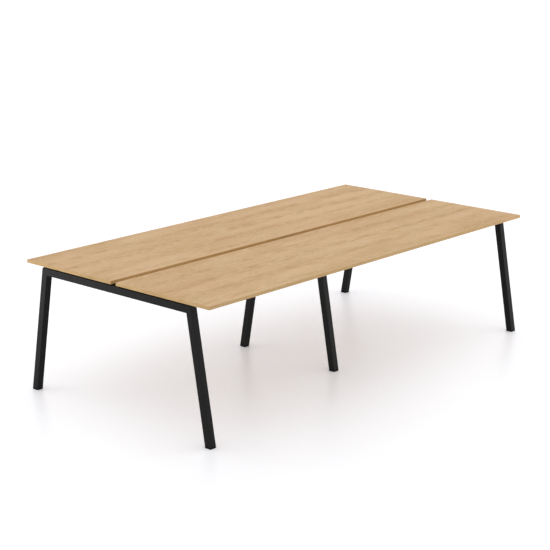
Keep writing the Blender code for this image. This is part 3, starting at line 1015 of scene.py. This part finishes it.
@dataclass
class Beams:
    """The beams of both bays, with their end plates, bolts and welds. Sizes in metres."""

    finishes: Finishes
    section: TubeSection = TubeSection(0.020, 0.040)
    bolt_spread: float = 0.025
    weld_inset: float = 0.0004

    def names(self) -> list[str]:
        """Names of the four beams, without their first word."""
        return [f"{bay}_{side}" for bay in BAYS for side in SIDES]

    def line(self, name: str) -> TubeLine:
        """Where a beam runs."""
        return TubeLine(middle_of(f"beam_{name}"), X_AXIS, Y_AXIS)

    def plate_faces(self) -> list[tuple[TubeLine, Vector, Vector]]:
        """The faces of the end plates that look into the bays.

        Returns:
            For each plate, its beam's line, the middle of the face and the direction in which it looks.
        """
        faces = []
        for name in self.names():
            line = self.line(name)
            for end in PLATES:
                low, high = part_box(f"beam_plate_{name}_{end}")
                middle = (low + high) / 2
                inward = X_AXIS if middle.x < line.centre.x else -X_AXIS
                middle.x = high.x if inward is X_AXIS else low.x
                faces.append((line, middle, inward))
        return faces

    def build(self) -> None:
        """Draws the beams' tubes and gives the plates their coat."""
        for name in self.names():
            low, high = (Cut(corner, X_AXIS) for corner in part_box(f"beam_{name}"))
            tube = self.section.tube(f"beam_{name}_tube", self.line(name), low, high)
            add_piece(tube, self.finishes.coat, TABLE_BODY, [f"beam_{name}"])
            for end in PLATES:
                dress_node(f"beam_plate_{name}_{end}", self.finishes.coat)

    def bolts(self) -> list[Place]:
        """Point on the plate and outward axis of each bolt, one on each side of each beam end."""
        reaches = [Y_AXIS * sign * self.bolt_spread for sign in SIDES.values()]
        return [(middle + reach, inward) for _, middle, inward in self.plate_faces() for reach in reaches]

    def welds(self) -> list[list[Vector]]:
        """Closed paths of the fillet welds, round each beam end on its plate."""
        ends = [(line, Cut(middle, inward)) for line, middle, inward in self.plate_faces()]
        return [self.section.ring(line, cut, self.weld_inset) for line, cut in ends]


@dataclass
class Hardware:
    """Screws, bolts, welds and spacers all over the frames. Sizes in metres, in the order of the trees."""

    finishes: Finishes
    bolt_sizes: tuple[float, ...] = (0.0070, 0.0044, 0.0050, 0.0026, 0.0085, 0.0016)
    screw_sizes: tuple[float, ...] = (0.0052, 0.0034, 0.0035, 0.0022, 0.0075, 0.0010)
    weld_ripple: float = 0.10
    turn_seed: int = 11

    def spacers(self) -> list[str]:
        """Names of the spacers, each of which has a screw below it."""
        return sorted(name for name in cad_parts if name.startswith("spacer_"))

    def screws(self) -> list[Place]:
        """Places and axes of the screws that hold the tops, under the crossbars.

        Returns:
            Point on the crossbar's underside and outward axis of each screw.
        """
        places = []
        for spacer in self.spacers():
            point = middle_of(spacer)
            point.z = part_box(f"{spacer.split('_')[1]}_crossbar")[0].z
            places.append((point, -Z_AXIS))
        return places

    def build(self, frames: Sequence[SteelFrame], beams: Beams) -> None:
        """Grows the hardware and gives the spacers their rubber.

        Args:
            frames: The three frames.
            beams: The beams between them.
        """
        coat, black, zinc = self.finishes.coat, self.finishes.black_bolt, self.finishes.zinc
        fasteners = FastenerTree()
        bolts = fasteners.place("beam_bolts", beams.bolts(), self.bolt_sizes, self.turn_seed, black)
        add_piece(bolts, black, TABLE_BODY)
        screws = fasteners.place("top_screws", self.screws(), self.screw_sizes, self.turn_seed, zinc)
        add_piece(screws, zinc, TABLE_BODY)
        welds = WeldTree()
        corners = [path for steel in frames for path in steel.welds()]
        for name, paths in (("beam_welds", beams.welds()), ("corner_welds", corners)):
            add_piece(welds.lay(name, paths, self.weld_ripple, coat), coat, TABLE_BODY)
        for spacer in self.spacers():
            dress_node(spacer, self.finishes.rubber)


@dataclass
class LevellingFoot:
    """One levelling foot: the cap in the leg's end, a pad, and a stud that turns in it. Sizes in metres."""

    place: str
    finishes: Finishes
    sides: int = 48
    cap_corner_steps: int = 4
    cap_flat_parts: int = 12
    cap_floor_gap: float = 0.0005
    cap_height: float = 0.009
    cap_edge: float = 0.0005
    plug_inset: float = 0.0023
    plug_corner: float = 0.0010
    plug_depth: float = 0.026
    pocket_radius: float = 0.0165
    pad_thickness: float = 0.005
    pad_radius: float = 0.0162
    pad_edge: float = 0.0008
    pad_edge_steps: int = 4
    pad_sole: float = 0.002
    foot_radius: float = 0.0057
    collar_radius: float = 0.0075
    collar_height: float = 0.004
    collar_sides: int = 6
    stud_radius: float = 0.004
    stud_length: float = 0.030
    tip_chamfer: float = 0.001
    thread_pitch: float = 0.00125
    thread_depth: float = 0.00068
    thread_steps: int = 8
    gap: float = 0.0003

    def __post_init__(self) -> None:
        """Reads the foot's upright axis, and works out the collar's flats and the stud's heights."""
        self.axis = middle_of(f"foot_pad_{self.place}")
        self.axis.z = 0.0
        self.half_side = math.pi / self.collar_sides
        self.collar_flat = self.collar_radius * math.cos(self.half_side)
        self.collar_base = self.pad_thickness + self.gap
        self.thread_base = self.collar_base + self.collar_height
        self.tip = self.thread_base + self.stud_length

    def ring(self, height: float, radius: float | Outline) -> list[Vector]:
        """A level ring about the foot's axis.

        Args:
            height: Height above the floor.
            radius: Its radius, or a function that gives it for each angle.

        Returns:
            The ring's points.
        """
        points = []
        for step in range(self.sides):
            angle = math.tau * step / self.sides
            reach = radius(angle) if callable(radius) else radius
            points.append(self.axis + Vector((reach * math.cos(angle), reach * math.sin(angle), height)))
        return points

    def square(self, height: float, inset: float, corner: float, lean: float = 0.0) -> list[Vector]:
        """A level ring with the cap's outline, or one inside it.

        Args:
            height: Height above the floor.
            inset: How far inside the outline it lies.
            corner: Radius of its corners.
            lean: How far it is moved towards the middle of the table, as the leg leans.

        Returns:
            The ring's points.
        """
        width = TUBE_WIDTH - 2 * inset
        depth = width / math.cos(LEG_SPLAY)
        outline = rounded_rectangle(width, depth, corner, self.cap_corner_steps, self.cap_flat_parts)
        inward = -math.copysign(lean, self.axis.y)
        return [self.axis + Vector((across, along + inward, height)) for across, along in outline]

    def matched(self, height: float, radius: float) -> list[Vector]:
        """A round ring whose points face those of the cap's outline.

        Args:
            height: Height above the floor.
            radius: Its radius.

        Returns:
            The ring's points.
        """
        middle = self.axis + Z_AXIS * height
        outline = self.square(0.0, 0.0, TUBE_CORNER)
        return [middle + (corner - self.axis).normalized() * radius for corner in outline]

    def cap(self) -> Mesh:
        """The cap: a square body with eased edges, a plug up the leg, and a stepped hole for pad and stud.

        Returns:
            The cap's mesh.
        """
        bottom = self.cap_floor_gap
        top = bottom + self.cap_height
        plug_top = top + self.plug_depth
        ceiling, collar_ceiling = self.collar_base, self.thread_base + self.gap
        pocket = self.pocket_radius
        collar, bore = self.collar_radius + self.gap, self.stud_radius + self.gap
        edge, corner = self.cap_edge, TUBE_CORNER
        eased = edge * (1 - math.sqrt(0.5))
        body = (
            (top, 0.0, corner),
            (bottom + edge, 0.0, corner),
            (bottom + eased, eased, corner - eased),
            (bottom, edge, corner - edge),
        )
        hole = (
            (bottom, pocket + edge),
            (bottom + edge, pocket),
            (ceiling, pocket),
            (ceiling, collar),
            (collar_ceiling, collar),
            (collar_ceiling, bore),
            (plug_top, bore),
        )
        plug, lean = (self.plug_inset, self.plug_corner), self.plug_depth * math.tan(LEG_SPLAY)
        rings = [self.square(*values) for values in body]
        rings += [self.matched(*values) for values in hole]
        rings += [self.square(plug_top, *plug, lean), self.square(top, *plug)]
        return loft(f"foot_cap_{self.place}_moulding", rings, hollow=True)

    def pad(self) -> Mesh:
        """The pad: a disc with round edges, and a seat in its top for the stud's foot.

        Returns:
            The pad's mesh.
        """
        edge, top = self.pad_edge, self.pad_thickness
        lower = []
        for step in range(self.pad_edge_steps + 1):
            turn = math.pi / 2 * step / self.pad_edge_steps
            lower.append((edge - edge * math.cos(turn), self.pad_radius - edge + edge * math.sin(turn)))
        upper = [(top - height, radius) for height, radius in reversed(lower)]
        seat = self.foot_radius + self.gap
        hole = [(top, seat + edge / 2), (top - edge / 2, seat), (self.pad_sole, seat)]
        rings = [self.ring(height, radius) for height, radius in (*lower, *upper, *hole)]
        return loft(f"foot_pad_{self.place}_disc", rings)

    def collar(self, circle: float, angle: float) -> float:
        """Radius of the six-sided collar at an angle, held inside a circle that rounds off its corners."""
        return min(circle, self.collar_flat / math.cos(angle % (2 * self.half_side) - self.half_side))

    def thread(self, height: float, angle: float) -> float:
        """Radius of the threaded shank, which is a helix with a chamfered tip.

        Args:
            height: Height above the floor.
            angle: Angle about the axis.

        Returns:
            The radius.
        """
        turn = ((height - self.thread_base) / self.thread_pitch - angle / math.tau) % 1.0
        limit = self.stud_radius - self.tip_chamfer + self.tip - height
        return min(limit, self.stud_radius - self.thread_depth * abs(2 * turn - 1))

    def stud(self) -> Mesh:
        """The stud: a foot in the pad's seat, a six-sided collar with chamfers, and a threaded shank.

        Returns:
            The stud's mesh.
        """
        base, top = self.collar_base, self.thread_base
        chamfer = (self.collar_radius - self.collar_flat) / 2
        eased, full = (partial(self.collar, circle) for circle in (self.collar_flat, self.collar_radius))
        outlines = [
            (self.pad_sole + self.gap, self.foot_radius),
            (base, self.foot_radius),
            (base, eased),
            (base + chamfer, full),
            (top - chamfer, full),
            (top, eased),
        ]
        count = int(self.stud_length / self.thread_pitch * self.thread_steps)
        heights = [top + self.stud_length * step / count for step in range(count + 1)]
        outlines += [(height, partial(self.thread, height)) for height in heights]
        return loft(f"foot_stud_{self.place}_thread", [self.ring(*outline) for outline in outlines])

    def build(self) -> None:
        """Draws the cap, the pad and the stud."""
        finishes, place = self.finishes, self.place
        add_piece(self.cap(), finishes.cap, TABLE_BODY, [f"foot_cap_{place}"])
        add_piece(self.pad(), finishes.pad, f"pad_{place}", [f"foot_pad_{place}"])
        add_piece(self.stud(), finishes.zinc, f"stud_{place}", [f"foot_stud_{place}"])


@dataclass
class Studio:
    """Camera, soft light and a pale floor. Lengths in metres, apart from the lens."""

    camera_place: Triple = (-6.5278, -5.7738, 2.8493)
    camera_heading: float = math.radians(47.994)
    camera_tilt: float = math.radians(15.008)
    sight_in_floors: float = 4.0
    lens_mm: float = 100.41
    sensor_mm: float = 36.0
    sky_colour: Colour = (1.0, 1.0, 1.0)
    floor_radius: float = 40.0
    floor_sides: int = 64
    floor_colour: Colour = (0.80, 0.80, 0.80)
    shown_floor_colour: Colour = (0.98, 0.98, 0.98)
    shown_floor_glow: Colour = (0.128, 0.135, 0.165)
    floor_roughness: float = 0.35
    lamp_reach: float = 4.4
    lamp_width: float = 2.2
    lamp_height: float = 0.9
    lamp_lift: float = 0.48
    lamp_powers: Point = (32.0, 26.0)

    def camera(self) -> None:
        """Sets up the camera at the photograph's viewing angle."""
        data = bpy.data.cameras.new("camera")
        data.sensor_width = self.sensor_mm
        data.lens = self.lens_mm
        data.clip_end = self.sight_in_floors * self.floor_radius
        camera = show("camera", data)
        camera.location = self.camera_place
        camera.rotation_euler = (math.pi / 2 - self.camera_tilt, 0.0, -self.camera_heading)
        bpy.context.scene.camera = camera

    def sky(self) -> None:
        """Makes the world: soft white light from all round."""
        world = bpy.data.worlds.new("studio")
        world.use_nodes = True
        world.node_tree.nodes["Background"].inputs["Color"].default_value = (*self.sky_colour, 1.0)
        bpy.context.scene.world = world

    def floor_finish(self) -> Material:
        """A pale, faintly glossy floor, shown as white where no shadow falls.

        Rays that show the floor go straight to the camera, or by way of a gloss or a glass.

        Returns:
            The material.
        """
        paint = Painter("studio_floor")
        paint.shade(Base_Color=(*self.floor_colour, 1.0), Roughness=self.floor_roughness)
        shown = paint.node(
            "ShaderNodeBsdfPrincipled",
            Base_Color=(*self.shown_floor_colour, 1.0),
            Roughness=self.floor_roughness,
            Emission_Color=(*self.shown_floor_glow, 1.0),
            Emission_Strength=1.0,
        )
        path = paint.node("ShaderNodeLightPath").outputs
        seen = path["Is Camera Ray"]
        for name in ("Is Glossy Ray", "Is Transmission Ray"):
            seen = paint.math("MAXIMUM", seen, path[name])
        choice = paint.node("ShaderNodeMixShader", Fac=seen)
        for socket, shader in zip(list(choice.inputs)[1:], (paint.shader, shown)):
            paint.fill(socket, shader.outputs[0])
        paint.fill(paint.tree.nodes["Material Output"].inputs["Surface"], choice.outputs[0])
        return paint.material

    def floor(self) -> None:
        """Lays the floor."""
        shape = bmesh.new()
        bmesh.ops.create_circle(shape, cap_ends=True, segments=self.floor_sides, radius=self.floor_radius)
        mesh = mesh_of("studio_floor", shape)
        mesh.materials.append(self.floor_finish())
        floor = show("studio_floor", mesh)

    def lamps(self) -> None:
        """Stands a low soft lamp on each side of the camera's view, below the tops."""
        aside = Vector((math.cos(self.camera_heading), -math.sin(self.camera_heading), 0.0))
        names = ("left_soft_box", "right_soft_box")
        for name, sign, power in zip(names, (-1.0, 1.0), self.lamp_powers):
            data = bpy.data.lights.new(name, "AREA")
            data.shape = "RECTANGLE"
            data.size = self.lamp_width
            data.size_y = self.lamp_height
            data.energy = power
            lamp = show(name, data)
            lamp.location = aside * sign * self.lamp_reach + Z_AXIS * self.lamp_lift
            lamp.rotation_euler = (aside * -sign).to_track_quat("-Z", "Y").to_euler()

    def build(self) -> None:
        """Sets up the studio."""
        bpy.context.scene.view_settings.view_transform = "Standard"
        self.camera()
        self.sky()
        self.floor()
        self.lamps()


def main() -> None:
    """Dresses the table, piece by piece, and sets up the studio."""
    logging.basicConfig(level=logging.INFO, format="%(name)s: %(message)s")
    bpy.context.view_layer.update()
    finishes = Finishes()
    Tops(finishes).dress()
    frames = [SteelFrame(label, finishes) for label in FRAMES]
    for steel in frames:
        steel.build()
    beams = Beams(finishes)
    beams.build()
    Hardware(finishes).build(frames, beams)
    for label in FRAMES:
        for side in SIDES:
            LevellingFoot(f"{label}_{side}", finishes).build()
    Studio().build()


if __name__ == "__main__":
    main()
